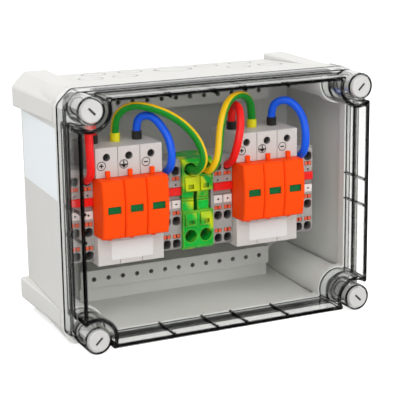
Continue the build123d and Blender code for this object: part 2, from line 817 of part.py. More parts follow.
def wire(name, pole, hole, rise, fall):
    """A tube of straight runs joined by arcs as large as the runs allow.

    The first points are offsets (right, forward, up) from the pole's entry, the last ones from the
    mouth of the terminal's hole.
    """
    route = [(pole, -entry_depth, arrester_top + ferrule_height)]
    route += [(pole + x, -entry_depth - d, arrester_top + z) for x, d, z in rise]
    hole_x, face, hole_top = hole
    route += [(hole_x + x, -face - d, hole_top + z) for x, d, z in fall]
    points = [Vector(*point) for point in route]
    radii = []
    for before, here, after in zip(points, points[1:], points[2:]):
        turn = (here - before).get_angle(after - here)
        shorter = min((here - before).length, (after - here).length)
        radii.append(0.45 * shorter / tan(radians(turn / 2)))
    path = FilletPolyline(*route, radius=radii)
    tube = sweep(Plane(points[0], z_dir=points[1] - points[0]) * Circle(wire_radius), path=path)
    expected = path.length * Circle(wire_radius).area
    print(name, "length", round(path.length, 1), "radii", [round(radius, 1) for radius in radii],
          "volume / expected", round(tube.volume / expected, 4))
    print([tuple(round(part, 2) for part in point) for point in route])
    return tube


left_poles = [pole_x(arrester_left[0], pole) + entry_offset for pole in range(poles)]
right_poles = [pole_x(arrester_left[1], pole) + entry_offset for pole in range(poles)]

# ---- what stands beside the arresters on the rail, by left faces
left_pair = (arrester_left[0] - 2 * terminal_width, arrester_left[0] - terminal_width)
inner_plate = arrester_left[0] + arrester_width
inner_pair = (inner_plate + end_plate, inner_plate + end_plate + terminal_width)
earth_pair = (inner_pair[1] + terminal_width, inner_pair[1] + terminal_width + earth_width)
middle_plate = earth_pair[1] + earth_width
middle_pair = (middle_plate + end_plate, middle_plate + end_plate + terminal_width)
outer_plate = arrester_left[1] + arrester_width
outer_pair = (outer_plate + end_plate, outer_plate + end_plate + terminal_width)
pairs = {"left": left_pair, "inner": inner_pair, "middle": middle_pair, "outer": outer_pair}



def terminal_hole(x):
    """The mouth of a terminal's upper wire hole, x at the terminal's left face."""
    return (x + terminal_width / 2, terminal_front, hole_z[0])


def earth_hole(x):
    return (x + earth_width / 2, earth_front, earth_hole_z[0])


wires = {
    "wire_earth_left": (
        left_poles[1], earth_hole(earth_pair[0]),
        [(0.0, 0.0, 15.0), (3.7, 2.0, 22.5), (10.4, 4.5, 26.4), (18.2, 8.5, 26.8), (27.2, 13.5, 24.4),
         (37.2, 18.5, 19.8)],
        [(-7.5, 6.0, 36.9), (0.2, 10.5, 27.2), (3.7, 14.6, 17.5), (4.1, 16.8, 9.4), (2.1, 14.5, 3.0),
         (0.1, 7.4, -0.9), (0.0, -1.0, 0.0)],
    ),
    "wire_blue_left": (
        left_poles[2], terminal_hole(inner_pair[0]),
        [(0.0, 0.0, 13.8), (4.2, 3.4, 18.6), (10.5, 8.2, 17.5), (16.3, 13.0, 8.8)],
        [(1.6, 4.5, 25.7), (1.5, 9.0, 16.7), (0.6, 9.7, 8.8), (0.2, 5.8, 2.7), (0.0, -1.0, 0.3)],
    ),
    "wire_red_left": (
        left_poles[0], terminal_hole(left_pair[1]),
        [(0.0, 0.0, 15.8), (-4.4, 7.2, 20.7), (-9.6, 16.8, 14.3)],
        [(-0.5, 8.5, 29.1), (-0.9, 10.5, 18.1), (-0.4, 10.0, 9.1), (-0.1, 6.0, 2.9), (0.0, -1.0, 0.3)],
    ),
    "wire_earth_right": (
        right_poles[1], earth_hole(earth_pair[1]),
        [(0.0, 0.0, 17.3), (-6.0, 3.5, 25.6), (-16.4, 8.5, 28.8), (-27.2, 14.5, 26.0), (-35.4, 20.5, 16.6)],
        [(8.9, 8.0, 28.4), (5.7, 12.8, 16.7), (2.7, 16.0, 8.4), (0.4, 13.5, 2.1), (-0.7, 6.7, -1.6),
         (0.0, -1.0, 0.0)],
    ),
    "wire_red_right": (
        right_poles[0], terminal_hole(middle_pair[1]),
        [(0.0, 0.0, 15.5), (-0.2, 7.5, 21.4), (-0.6, 16.1, 17.9)],
        [(7.6, 9.0, 32.5), (3.4, 13.0, 21.1), (0.6, 12.5, 11.1), (0.1, 7.4, 3.7), (0.0, -1.0, 0.3)],
    ),
    "wire_blue_right": (
        right_poles[2], terminal_hole(outer_pair[0]),
        [(0.0, 0.0, 14.1), (4.0, 3.1, 19.7), (10.7, 7.0, 20.4), (17.1, 11.5, 14.8)],
        [(2.6, 3.0, 30.5), (2.0, 7.5, 19.7), (0.6, 9.0, 9.9), (0.1, 5.8, 3.3), (0.0, -1.0, 0.3)],
    ),
}


def save(name, *solids):
    flat = []
    for item in solids:
        flat += item if isinstance(item, list) else [item]
    solid = flat[0] if len(flat) == 1 else Compound(children=[s for f in flat for s in f.solids()])
    export_step(solid, f"parts/{name}.step")


def main():
    os.makedirs("parts", exist_ok=True)
    cavity = case_cavity()
    case = case_moulding(cavity)
    zones = [corner_zone(side, rise) for side, rise in corners.values()]
    save("base_shell", case - zones)
    save("corner_columns", *[case & zone for zone in zones])
    save("mounting_ledges", *[ledge(rise, cavity) for rise in (1, -1)])
    save("cover", cover())
    save("cover_gasket", gasket())
    for name, (side, rise) in corners.items():
        save(f"cover_knob_{name}", knob(side, rise))
    save("knob_inserts", *[knob_insert(side, rise) for side, rise in corners.values()])
    save("din_rail", din_rail())
    save("rail_screws", *[rail_screw(x) for x in boss_x])
    for name, left in zip(("left", "right"), arrester_left):
        save(f"surge_base_{name}", arrester_base(left))
        save(f"contact_clips_{name}", contact_clips(left))
        save(f"rail_latch_{name}", rail_latch(left))
        for pole in range(poles):
            x = pole_x(left, pole)
            save(f"plug_module_{name}_{pole + 1}", plug_module(x))
            save(f"module_blades_{name}_{pole + 1}", module_blades(x))
            save(f"status_flag_{name}_{pole + 1}", status_flag(x))
    pole_list = [pole_x(left, pole) for left in arrester_left for pole in range(poles)]
    save("terminal_screws", *[terminal_screw(x) for x in pole_list])
    tags = []
    for name, pair in pairs.items():
        save(f"terminals_{name}", *[terminal(x) for x in pair])
        save(f"pushers_{name}", *[pushers(x) for x in pair])
        tags += [marker_tag(x) for x in pair]
    save("marker_tags", *tags)
    save("end_plates", *[plate(x) for x in (inner_plate, middle_plate, outer_plate)])
    bars = []
    for pair in pairs.values():
        bars.append(bridge(pair[0], pair[1] + terminal_width))
    save("bridges", *bars)
    save("earth_terminals", *[earth_terminal(x) for x in earth_pair])
    save("earth_pushers", *[earth_pushers(x) for x in earth_pair])
    for name, route in wires.items():
        save(name, wire(name, *route))
    dark = [pole_x(left, pole) for left in arrester_left for pole in (0, 2)]
    save("ferrules_black", *[ferrule(x) for x in dark])
    save("ferrules_yellow", *[ferrule(pole_x(left, 1)) for left in arrester_left])


main()
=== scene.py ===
import math

import bmesh
import bpy
from mathutils import Euler, Matrix, Vector


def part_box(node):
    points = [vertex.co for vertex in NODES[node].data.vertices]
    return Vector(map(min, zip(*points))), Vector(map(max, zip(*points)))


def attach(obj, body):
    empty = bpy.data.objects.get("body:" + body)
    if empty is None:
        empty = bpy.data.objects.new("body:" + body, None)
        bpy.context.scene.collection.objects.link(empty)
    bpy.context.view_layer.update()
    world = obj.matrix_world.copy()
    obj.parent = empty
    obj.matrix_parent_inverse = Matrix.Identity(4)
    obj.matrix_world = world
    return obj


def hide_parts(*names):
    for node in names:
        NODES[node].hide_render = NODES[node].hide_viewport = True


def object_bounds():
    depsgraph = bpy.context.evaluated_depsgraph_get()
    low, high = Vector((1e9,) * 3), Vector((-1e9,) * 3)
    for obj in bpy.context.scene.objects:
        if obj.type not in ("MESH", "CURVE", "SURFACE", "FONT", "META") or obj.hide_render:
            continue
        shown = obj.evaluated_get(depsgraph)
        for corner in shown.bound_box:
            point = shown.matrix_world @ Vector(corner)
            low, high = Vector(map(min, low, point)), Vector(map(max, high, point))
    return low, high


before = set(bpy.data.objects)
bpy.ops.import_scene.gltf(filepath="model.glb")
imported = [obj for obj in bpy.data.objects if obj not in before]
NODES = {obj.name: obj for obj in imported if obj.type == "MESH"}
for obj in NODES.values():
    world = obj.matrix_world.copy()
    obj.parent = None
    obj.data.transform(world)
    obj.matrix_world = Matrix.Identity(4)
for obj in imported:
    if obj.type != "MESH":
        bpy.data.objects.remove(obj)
cad_box = [list(corner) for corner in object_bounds()]

bl_info = {
    "name": "DC combiner box",
    "version": (1, 0, 0),
    "blender": (4, 5, 0),
    "location": "3D View > Sidebar > Combiner",
    "description": "Dresses a surge-protected DC combiner box and sets up a plain studio",
    "category": "Object",
}

MM = 0.001
ARRESTERS = ("left", "right")
POLES = (1, 2, 3)
PAIRS = ("left", "inner", "middle", "outer")

# Lamps: name, place in metres, size in metres, power in watts, and whether the clear cover mirrors it
LAMPS = (
    ("key_light", (-0.9, -1.5, 1.5), 1.3, 18.0, True),
    ("front_light", (-0.1, -1.5, 0.9), 1.0, 6.0, False),
    ("fill_light", (1.6, -1.3, 0.7), 1.4, 14.0, True),
    ("top_light", (0.1, 0.3, 1.9), 1.2, 1.0, True),
)
CAMERA_PLACE = (-0.4295, -0.9842, 0.2448)
CAMERA_TURN = (76.093, 0.723, -25.435)  # degrees
CAMERA_LENS = 118.5
FLOOR_SIZE = 6.0
FLOOR_DROP = 0.0002            # keeps the floor clear of the box's lowest face
PAPER_LIFT = 0.45              # brightens the floor where it is seen, also through the cover
AMBIENT = 0.85                 # strength of the world's diffuse light

# Places and sizes in millimetres
WALL_X = -119.8                # the left wall where it meets the back
WALL_DRAFT = 2.9               # degrees
SIDE_LABEL_Y = (-94.0, -3.0)
SIDE_LABEL_Z = (13.5, 67.5)
ARRESTER_LABEL_X = (10.7, 44.7)  # from the arrester's left side
ARRESTER_LABEL_Z = (3.6, 18.1)   # from its bottom
ARRESTER_LABEL_CORNER = 1.0
MARK_IN = 4.7                  # from a pole's left side to the middle of its sign
MARK_DOWN = 13.5               # from the arrester's top
MARK_LINE = 0.55
MARK_BAR = 1.7                 # half the length of a sign's bars
MARK_HALF = 0.5                # half their width
# The earth sign, in multiples of MARK_BAR: the rise of its stem, half the length of its three lines, and how
# far they lie below the middle and below each other
EARTH_STEM = 1.6
EARTH_STEPS = (1.7, 1.1, 0.5)
EARTH_FIRST = 0.2
EARTH_DROP = 0.5
TAG_BAR = 0.9                  # as MARK_BAR and MARK_HALF, for the signs on the tags
TAG_HALF = 0.35
INK = 0.08                     # how far a printed sign stands out

# Middle of each marker tag, and its sign
TAG_SIGNS = ((-107.7, "plus"), (-99.5, "plus"), (-35.81, "minus"), (-27.61, "minus"),
             (8.19, "plus"), (16.39, "plus"), (80.39, "minus"), (88.59, "minus"))

# How far the stripe of each earth wire is swung round the wire, in radians, and the points of each route
WIRE_TURNS = {"wire_earth_left": 2.2, "wire_earth_right": 0.2}
WIRE_ROUTES = {
    "wire_earth_left": [
        (-71.16, -74.5, 56.7), (-71.16, -74.5, 65.2), (-67.45, -76.5, 72.7), (-60.76, -79.0, 76.6),
        (-52.95, -83.0, 77.0), (-43.95, -88.0, 74.6), (-33.95, -93.0, 70.0), (-24.61, -98.0, 62.9),
        (-16.91, -102.5, 53.2), (-13.41, -106.6, 43.5), (-13.01, -108.8, 35.4), (-15.01, -106.5, 29.0),
        (-17.01, -99.4, 25.1), (-17.11, -91.0, 26.0),
    ],
    "wire_blue_left": [
        (-53.33, -74.5, 56.7), (-53.33, -74.5, 64.0), (-49.13, -77.9, 68.8), (-42.83, -82.7, 67.7),
        (-37.03, -87.5, 59.0), (-34.21, -92.5, 50.6), (-34.31, -97.0, 41.6), (-35.21, -97.7, 33.7),
        (-35.61, -93.8, 27.6), (-35.81, -87.0, 25.2),
    ],
    "wire_red_left": [
        (-88.99, -74.5, 56.7), (-88.99, -74.5, 66.0), (-93.39, -81.7, 70.9), (-98.59, -91.3, 64.5),
        (-100.0, -96.5, 54.0), (-100.4, -98.5, 43.0), (-99.9, -98.0, 34.0), (-99.6, -94.0, 27.8),
        (-99.5, -87.0, 25.2),
    ],
    "wire_earth_right": [
        (45.05, -74.5, 56.7), (45.05, -74.5, 67.5), (39.05, -78.0, 75.8), (28.65, -83.0, 79.0),
        (17.85, -89.0, 76.2), (9.65, -95.0, 66.8), (4.59, -100.0, 54.4), (1.39, -104.8, 42.7),
        (-1.61, -108.0, 34.4), (-3.91, -105.5, 28.1), (-5.01, -98.7, 24.4), (-4.31, -91.0, 26.0),
    ],
    "wire_red_right": [
        (27.21, -74.5, 56.7), (27.21, -74.5, 65.7), (27.02, -82.0, 71.6), (26.61, -90.6, 68.1),
        (23.99, -97.0, 57.4), (19.79, -101.0, 46.0), (16.99, -100.5, 36.0), (16.49, -95.4, 28.6),
        (16.39, -87.0, 25.2),
    ],
    "wire_blue_right": [
        (62.88, -74.5, 56.7), (62.88, -74.5, 64.3), (66.88, -77.6, 69.9), (73.58, -81.5, 70.6),
        (79.97, -86.0, 65.0), (82.99, -91.0, 55.4), (82.39, -95.5, 44.6), (80.99, -97.0, 34.8),
        (80.49, -93.8, 28.2), (80.39, -87.0, 25.2),
    ],
}


def srgb(code):
    """A hex colour as the linear values that Blender's sockets take."""
    parts = [int(code[i:i + 2], 16) / 255 for i in (1, 3, 5)]
    return tuple(p / 12.92 if p <= 0.04045 else ((p + 0.055) / 1.055) ** 2.4 for p in parts)


def add(tree, kind, inputs=(), **settings):
    """Adds a node. inputs maps a socket's name or number to a value or to another node's output."""
    node = tree.nodes.new(kind)
    for key, value in settings.items():
        setattr(node, key, value)
    for key, value in dict(inputs).items():
        if isinstance(value, bpy.types.NodeSocket):
            tree.links.new(value, node.inputs[key])
        else:
            node.inputs[key].default_value = value
    return node


# ------------------------------------------------------------------ settings

class CombinerSizes(bpy.types.PropertyGroup):
    wire_radius: bpy.props.FloatProperty(
        name="Wire radius", description="Outside of the insulation", default=3.1 * MM, unit="LENGTH",
        precision=4)
    edge: bpy.props.FloatProperty(
        name="Edge radius", description="How far moulded edges are rounded", default=0.5 * MM, unit="LENGTH",
        precision=4)
    # The cover's dark lines are painted shade: a near-black shader mixed in along its edges
    dark_line: bpy.props.FloatProperty(
        name="Dark line", description="Width of the dark lines along the cover's edges", default=2.0 * MM,
        unit="LENGTH", precision=4)
    label_thickness: bpy.props.FloatProperty(
        name="Label thickness", description="Plastic film of the labels", default=0.15 * MM, unit="LENGTH",
        precision=5)
    mark_radius: bpy.props.FloatProperty(
        name="Polarity mark radius", description="Outside of the ring round a polarity sign", default=3.5 * MM,
        unit="LENGTH", precision=4)


class CombinerColours(bpy.types.PropertyGroup):
    case: bpy.props.FloatVectorProperty(
        name="Case", description="Light grey case", subtype="COLOR", default=srgb("#dbdad6"))
    cover: bpy.props.FloatVectorProperty(
        name="Cover", description="Clear cover", subtype="COLOR", default=srgb("#fdfdfc"))
    knob: bpy.props.FloatVectorProperty(
        name="Knobs", description="Cover knobs", subtype="COLOR", default=srgb("#b9b8b6"))
    arrester: bpy.props.FloatVectorProperty(
        name="Arrester base", description="Warm light grey", subtype="COLOR", default=srgb("#c9c3c0"))
    module: bpy.props.FloatVectorProperty(
        name="Modules", description="Signal orange", subtype="COLOR", default=srgb("#ff4a00"))
    flag: bpy.props.FloatVectorProperty(
        name="Status flag", description="Green for a sound module", subtype="COLOR", default=srgb("#0a6a35"))
    flag_failed: bpy.props.FloatVectorProperty(
        name="Status flag, failed", description="Red for a failed module", subtype="COLOR",
        default=srgb("#c8160c"))
    terminal: bpy.props.FloatVectorProperty(
        name="Terminals", description="Mid grey", subtype="COLOR", default=srgb("#a5a19e"))
    pusher: bpy.props.FloatVectorProperty(
        name="Pushers", description="Orange release pushers", subtype="COLOR", default=srgb("#f0623c"))
    bridge: bpy.props.FloatVectorProperty(
        name="Bridges", description="Red plug-in bridges", subtype="COLOR", default=srgb("#f0100a"))
    earth: bpy.props.FloatVectorProperty(
        name="Earth terminals", description="Green body", subtype="COLOR", default=srgb("#04c83c"))
    earth_lever: bpy.props.FloatVectorProperty(
        name="Earth pushers", description="Yellow-green", subtype="COLOR", default=srgb("#c6d600"))
    wire_red: bpy.props.FloatVectorProperty(
        name="Red wire", description="Positive conductors", subtype="COLOR", default=srgb("#f5100c"))
    wire_blue: bpy.props.FloatVectorProperty(
        name="Blue wire", description="Negative conductors", subtype="COLOR", default=srgb("#045ae8"))
    wire_green: bpy.props.FloatVectorProperty(
        name="Earth wire green", description="Green of the earth wires", subtype="COLOR",
        default=srgb("#0d8a20"))
    wire_yellow: bpy.props.FloatVectorProperty(
        name="Earth wire yellow", description="Yellow of the earth wires", subtype="COLOR",
        default=srgb("#e8b800"))


def sizes():
    return bpy.context.scene.combiner_sizes


def colours():
    return bpy.context.scene.combiner_colours


# ------------------------------------------------------------------ materials

def new_material(name):
    material = bpy.data.materials.new(name)
    material.use_nodes = True
    material.node_tree.nodes.clear()
    return material, material.node_tree


def close(tree, surface):
    add(tree, "ShaderNodeOutputMaterial", {"Surface": surface.outputs[0]})


def moulded(name, colour, roughness=0.42, grain=0.35, depth=0.02, uneven=0.05, reach=4.0, shade=0.25, **shader):
    """Moulded plastic: spark-eroded grain of a few tenths of a millimetre, slightly uneven in tone and gloss,
    with rounded edges that catch the light. Painted shade: the colour is darkened in recesses narrower than the
    reach, down to the share that shade sets."""
    material, tree = new_material(name)
    place = add(tree, "ShaderNodeTexCoord").outputs["Object"]
    fine = add(tree, "ShaderNodeTexNoise", {"Vector": place, "Scale": 1 / (grain * MM), "Detail": 2.0})
    broad = add(tree, "ShaderNodeTexNoise", {"Vector": place, "Scale": 25.0, "Detail": 3.0})
    dark = [c * (1 - 2 * uneven) for c in colour] + [1.0]
    pale = [min(1.0, c * (1 + uneven)) for c in colour] + [1.0]
    tone = add(tree, "ShaderNodeMix", {0: broad.outputs[0], 6: dark, 7: pale}, data_type="RGBA")
    # Painted shade: ambient occlusion within the object darkens the colour in its recesses
    open_sky = add(tree, "ShaderNodeAmbientOcclusion", {"Distance": reach * MM}, samples=8, only_local=True)
    painted_recess_shade = add(tree, "ShaderNodeMapRange", {"Value": open_sky.outputs["AO"], "From Min": 0.1,
                                                  "From Max": 0.75, "To Min": shade, "To Max": 1.0})
    tone = add(tree, "ShaderNodeMix", {0: 1.0, 6: tone.outputs[2], 7: painted_recess_shade.outputs[0]}, data_type="RGBA",
               blend_type="MULTIPLY")
    gloss = add(tree, "ShaderNodeMapRange", {"Value": fine.outputs[0], "From Min": 0.3, "From Max": 0.7,
                                            "To Min": roughness - 0.06, "To Max": roughness + 0.06})
    rounded = add(tree, "ShaderNodeBevel", {"Radius": sizes().edge}, samples=4)
    bump = add(tree, "ShaderNodeBump", {"Height": fine.outputs[0], "Strength": 0.35, "Distance": depth * MM,
                                        "Normal": rounded.outputs[0]})
    surface = add(tree, "ShaderNodeBsdfPrincipled", {
        "Base Color": tone.outputs[2], "Roughness": gloss.outputs[0], "Normal": bump.outputs[0], "IOR": 1.53,
        **shader})
    close(tree, surface)
    return material


def mottled_polyamide(name, green, yellow, share):
    """Green polyamide with yellow flowed through it in soft patches, a painted yellow highlight along its
    edges, and painted shade that deepens it to dark green in its recesses. The share sets how much of it stays
    green."""
    material, tree = new_material(name)
    place = add(tree, "ShaderNodeTexCoord").outputs["Object"]
    flow = add(tree, "ShaderNodeTexNoise", {"Vector": place, "Scale": 45.0, "Detail": 1.0, "Distortion": 0.6})
    patch = add(tree, "ShaderNodeMapRange", {"Value": flow.outputs[0], "From Min": share - 0.06,
                                             "From Max": share + 0.06})
    deep = [c * 0.45 for c in green] + [1.0]
    cloud = add(tree, "ShaderNodeTexNoise", {"Vector": place, "Scale": 90.0, "Detail": 1.0})
    body = add(tree, "ShaderNodeMix", {0: cloud.outputs[0], 6: deep, 7: (*green, 1.0)}, data_type="RGBA")
    tone = add(tree, "ShaderNodeMix", {0: patch.outputs[0], 6: body.outputs[2], 7: (*yellow, 1.0)},
               data_type="RGBA")
    # Painted highlight: yellow laid along the edges
    rounded = add(tree, "ShaderNodeBevel", {"Radius": 0.8 * MM}, samples=4)
    flat = add(tree, "ShaderNodeNewGeometry").outputs["True Normal"]
    along = add(tree, "ShaderNodeVectorMath", {0: rounded.outputs[0], 1: flat}, operation="DOT_PRODUCT")
    painted_edge_glow = add(tree, "ShaderNodeMapRange", {"Value": along.outputs["Value"], "From Min": 0.99, "From Max": 0.85,
                                          "To Min": 0.0, "To Max": 0.7})
    tone = add(tree, "ShaderNodeMix", {0: painted_edge_glow.outputs[0], 6: tone.outputs[2], 7: (*yellow, 1.0)},
               data_type="RGBA")
    # Painted shade: darker green in recesses
    open_sky = add(tree, "ShaderNodeAmbientOcclusion", {"Distance": 6.0 * MM}, samples=8, only_local=True)
    shade = add(tree, "ShaderNodeMapRange", {"Value": open_sky.outputs["AO"], "From Min": 0.1, "From Max": 0.8,
                                            "To Min": 0.4, "To Max": 1.0})
    tone = add(tree, "ShaderNodeMix", {0: 1.0, 6: tone.outputs[2], 7: shade.outputs[0]}, data_type="RGBA",
               blend_type="MULTIPLY")
    close(tree, add(tree, "ShaderNodeBsdfPrincipled", {
        "Base Color": tone.outputs[2], "Roughness": 0.25, "IOR": 1.53, "Normal": rounded.outputs[0]}))
    return material


def printed_flag(upper, lower, split):
    """Moulded flag printed in glossy ink: one colour above the split and the other below it, with the fine
    unevenness of a screen print."""
    material, tree = new_material("printed_flag")
    place = add(tree, "ShaderNodeTexCoord").outputs["Object"]
    rise = add(tree, "ShaderNodeSeparateXYZ", {0: place}).outputs[2]
    above = add(tree, "ShaderNodeMath", {0: rise, 1: split}, operation="GREATER_THAN")
    ink = add(tree, "ShaderNodeMix", {0: above.outputs[0], 6: (*lower, 1.0), 7: (*upper, 1.0)},
              data_type="RGBA")
    screen = add(tree, "ShaderNodeTexNoise", {"Vector": place, "Scale": 1 / (0.6 * MM), "Detail": 2.0})
    coat = add(tree, "ShaderNodeMapRange", {"Value": screen.outputs[0], "To Min": 0.85, "To Max": 1.0})
    tone = add(tree, "ShaderNodeMix", {0: 1.0, 6: ink.outputs[2], 7: coat.outputs[0]}, data_type="RGBA",
               blend_type="MULTIPLY")
    bump = add(tree, "ShaderNodeBump", {"Height": screen.outputs[0], "Strength": 0.3, "Distance": 0.005 * MM})
    close(tree, add(tree, "ShaderNodeBsdfPrincipled", {
        "Base Color": tone.outputs[2], "Roughness": 0.25, "IOR": 1.5, "Normal": bump.outputs[0]}))
    return material


def clear_polycarbonate():
    """Polished polycarbonate, with painted dark lines along its edges and corners: a near-black glossy shader
    stands in for the light that they turn away.
    """
    material, tree = new_material("clear_polycarbonate")
    place = add(tree, "ShaderNodeTexCoord").outputs["Object"]
    wave = add(tree, "ShaderNodeTexNoise", {"Vector": place, "Scale": 14.0, "Detail": 1.0})
    bump = add(tree, "ShaderNodeBump", {"Height": wave.outputs[0], "Strength": 0.1, "Distance": 0.1 * MM})
    glass = add(tree, "ShaderNodeBsdfPrincipled", {
        "Base Color": (*colours().cover, 1.0), "Roughness": 0.0, "IOR": 1.586, "Transmission Weight": 1.0,
        "Normal": bump.outputs[0]})
    # Painted shade: a near-black shader mixed in along the edges
    rounded = add(tree, "ShaderNodeBevel", {"Radius": sizes().dark_line}, samples=6)
    flat = add(tree, "ShaderNodeNewGeometry").outputs["True Normal"]
    along = add(tree, "ShaderNodeVectorMath", {0: rounded.outputs[0], 1: flat}, operation="DOT_PRODUCT")
    edge = add(tree, "ShaderNodeMapRange", {"Value": along.outputs["Value"], "From Min": 0.98, "From Max": 0.94,
                                           "To Min": 0.0, "To Max": 0.97})
    painted_dark_edge = add(tree, "ShaderNodeBsdfPrincipled", {"Base Color": (*srgb("#060606"), 1.0), "Roughness": 0.05,
                                                   "IOR": 1.586})
    body = add(tree, "ShaderNodeMixShader", {0: edge.outputs[0], 1: glass.outputs[0], 2: painted_dark_edge.outputs[0]})
    # Light on its way to the inside passes straight through, a little dimmed
    clear = add(tree, "ShaderNodeBsdfTransparent", {"Color": (0.93, 0.94, 0.94, 1.0)})
    path = add(tree, "ShaderNodeLightPath")
    passes = add(tree, "ShaderNodeMath", {0: path.outputs["Is Shadow Ray"], 1: path.outputs["Is Diffuse Ray"]},
                 operation="MAXIMUM")
    surface = add(tree, "ShaderNodeMixShader", {0: passes.outputs[0], 1: body.outputs[0], 2: clear.outputs[0]})
    close(tree, surface)
    return material


def plated(name, colour, roughness=0.35):
    """Zinc or tin plating: a soft metal shine with faint rolling lines and cloudy patches."""
    material, tree = new_material(name)
    place = add(tree, "ShaderNodeTexCoord").outputs["Object"]
    lines = add(tree, "ShaderNodeMapping", {"Vector": place, "Scale": (0.05, 1.0, 1.0)})
    streak = add(tree, "ShaderNodeTexNoise", {"Vector": lines.outputs[0], "Scale": 2500.0, "Detail": 2.0})
    cloud = add(tree, "ShaderNodeTexNoise", {"Vector": place, "Scale": 120.0, "Detail": 4.0})
    dark = [c * 0.82 for c in colour] + [1.0]
    tone = add(tree, "ShaderNodeMix", {0: cloud.outputs[0], 6: dark, 7: (*colour, 1.0)}, data_type="RGBA")
    gloss = add(tree, "ShaderNodeMapRange", {"Value": cloud.outputs[0], "To Min": roughness - 0.1,
                                            "To Max": roughness + 0.15})
    bump = add(tree, "ShaderNodeBump", {"Height": streak.outputs[0], "Strength": 0.2, "Distance": 0.01 * MM})
    close(tree, add(tree, "ShaderNodeBsdfPrincipled", {
        "Base Color": tone.outputs[2], "Roughness": gloss.outputs[0], "Metallic": 1.0,
        "Normal": bump.outputs[0]}))
    return material


def insulation(name, colour, stripe=None):
    """PVC wire insulation: extruded, so it has a soft shine and faint lines along its length. With a stripe,
    a band of the second colour runs along one side."""
    material, tree = new_material(name)
    along = add(tree, "ShaderNodeTexCoord").outputs["UV"]
    place = add(tree, "ShaderNodeTexCoord").outputs["Object"]
    cloud = add(tree, "ShaderNodeTexNoise", {"Vector": place, "Scale": 60.0, "Detail": 3.0})
    lines = add(tree, "ShaderNodeMapping", {"Vector": along, "Scale": (1.0, 40.0, 1.0)})
    drawn = add(tree, "ShaderNodeTexNoise", {"Vector": lines.outputs[0], "Scale": 3.0, "Detail": 2.0})
    dark = [c * 0.85 for c in colour] + [1.0]
    tone = add(tree, "ShaderNodeMix", {0: cloud.outputs[0], 6: dark, 7: (*colour, 1.0)},
               data_type="RGBA").outputs[2]
    if stripe:
        round_it = add(tree, "ShaderNodeSeparateXYZ", {0: along}).outputs[1]
        centred = add(tree, "ShaderNodeMath", {0: round_it, 1: 0.5}, operation="SUBTRACT")
        away = add(tree, "ShaderNodeMath", {0: centred.outputs[0]}, operation="ABSOLUTE")
        band = add(tree, "ShaderNodeMapRange", {"Value": away.outputs[0], "From Min": 0.165, "From Max": 0.18,
                                                "To Min": 1.0, "To Max": 0.0})
        tone = add(tree, "ShaderNodeMix", {0: band.outputs[0], 6: tone, 7: (*stripe, 1.0)},
                   data_type="RGBA").outputs[2]
    bump = add(tree, "ShaderNodeBump", {"Height": drawn.outputs[0], "Strength": 0.3, "Distance": 0.05 * MM})
    close(tree, add(tree, "ShaderNodeBsdfPrincipled", {
        "Base Color": tone, "Roughness": 0.3, "Specular IOR Level": 0.3, "IOR": 1.54,
        "Normal": bump.outputs[0]}))
    return material


# ------------------------------------------------------------------ pieces

def dress(material, *nodes):
    """Gives CAD nodes a material."""
    for name in nodes:
        for held in NODES[name].material_slots:
            held.material = material


def new_piece(name, mesh, material, body):
    """Turns a bmesh into a piece that rides on a body."""
    data = bpy.data.meshes.new(name)
    mesh.to_mesh(data)
    mesh.free()
    piece = bpy.data.objects.new(name, data)
    bpy.context.scene.collection.objects.link(piece)
    piece.data.materials.append(material)
    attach(piece, body)
    return piece


def plate(mesh, low, high, radius=0.0, segments=3):
    """Adds a box to a bmesh, between two corners, with its upright edges along y rounded."""
    size = [h - l for l, h in zip(low, high)]
    centre = [(l + h) / 2 for l, h in zip(low, high)]
    place = Matrix.Translation(centre) @ Matrix.Diagonal((*size, 1.0))
    made = bmesh.ops.create_cube(mesh, size=1.0, matrix=place)
    if radius:
        edges = {edge for vert in made["verts"] for edge in vert.link_edges
                 if abs((edge.verts[0].co - edge.verts[1].co).normalized().y) > 0.9}
        bmesh.ops.bevel(mesh, geom=list(edges), offset=radius, segments=segments, profile=0.5, material=-1,
                        affect="EDGES")


def ring(mesh, centre, outer, inner, depth, segments=32):
    """Adds a flat ring that faces -y. It is built face by face, because the order of the faces that bmesh's own
    extrusion makes differs from run to run."""
    x, y, z = centre
    angles = [2 * math.pi * step / segments for step in range(segments)]
    loops = [[mesh.verts.new((x - radius * math.sin(angle), y - rise, z + radius * math.cos(angle)))
              for angle in angles]
             for radius, rise in ((outer, 0.0), (inner, 0.0), (inner, depth), (outer, depth))]
    for here, there in zip(loops, loops[1:] + loops[:1]):
        for step in range(segments):
            mesh.faces.new((here[step - 1], here[step], there[step], there[step - 1]))
    bmesh.ops.recalc_face_normals(mesh, faces=mesh.faces)


def spline_wire(name, points, radius, material, turn=0.0):
    """A wire on a NURBS line; turn swings its stripe round it."""
    curve = bpy.data.curves.new(name, "CURVE")
    curve.dimensions = "3D"
    curve.twist_mode = "MINIMUM"
    curve.resolution_u = 12
    curve.bevel_depth = radius
    curve.bevel_resolution = 8
    curve.use_fill_caps = True
    spline = curve.splines.new("NURBS")
    spline.points.add(len(points) - 1)
    for knot, point in zip(spline.points, points):
        knot.co = (*[c * MM for c in point], 1.0)
        knot.tilt = turn
    spline.order_u = 3
    spline.use_endpoint_u = True
    piece = bpy.data.objects.new(name, curve)
    bpy.context.scene.collection.objects.link(piece)
    curve.materials.append(material)
    return piece


# ------------------------------------------------------------------ operators

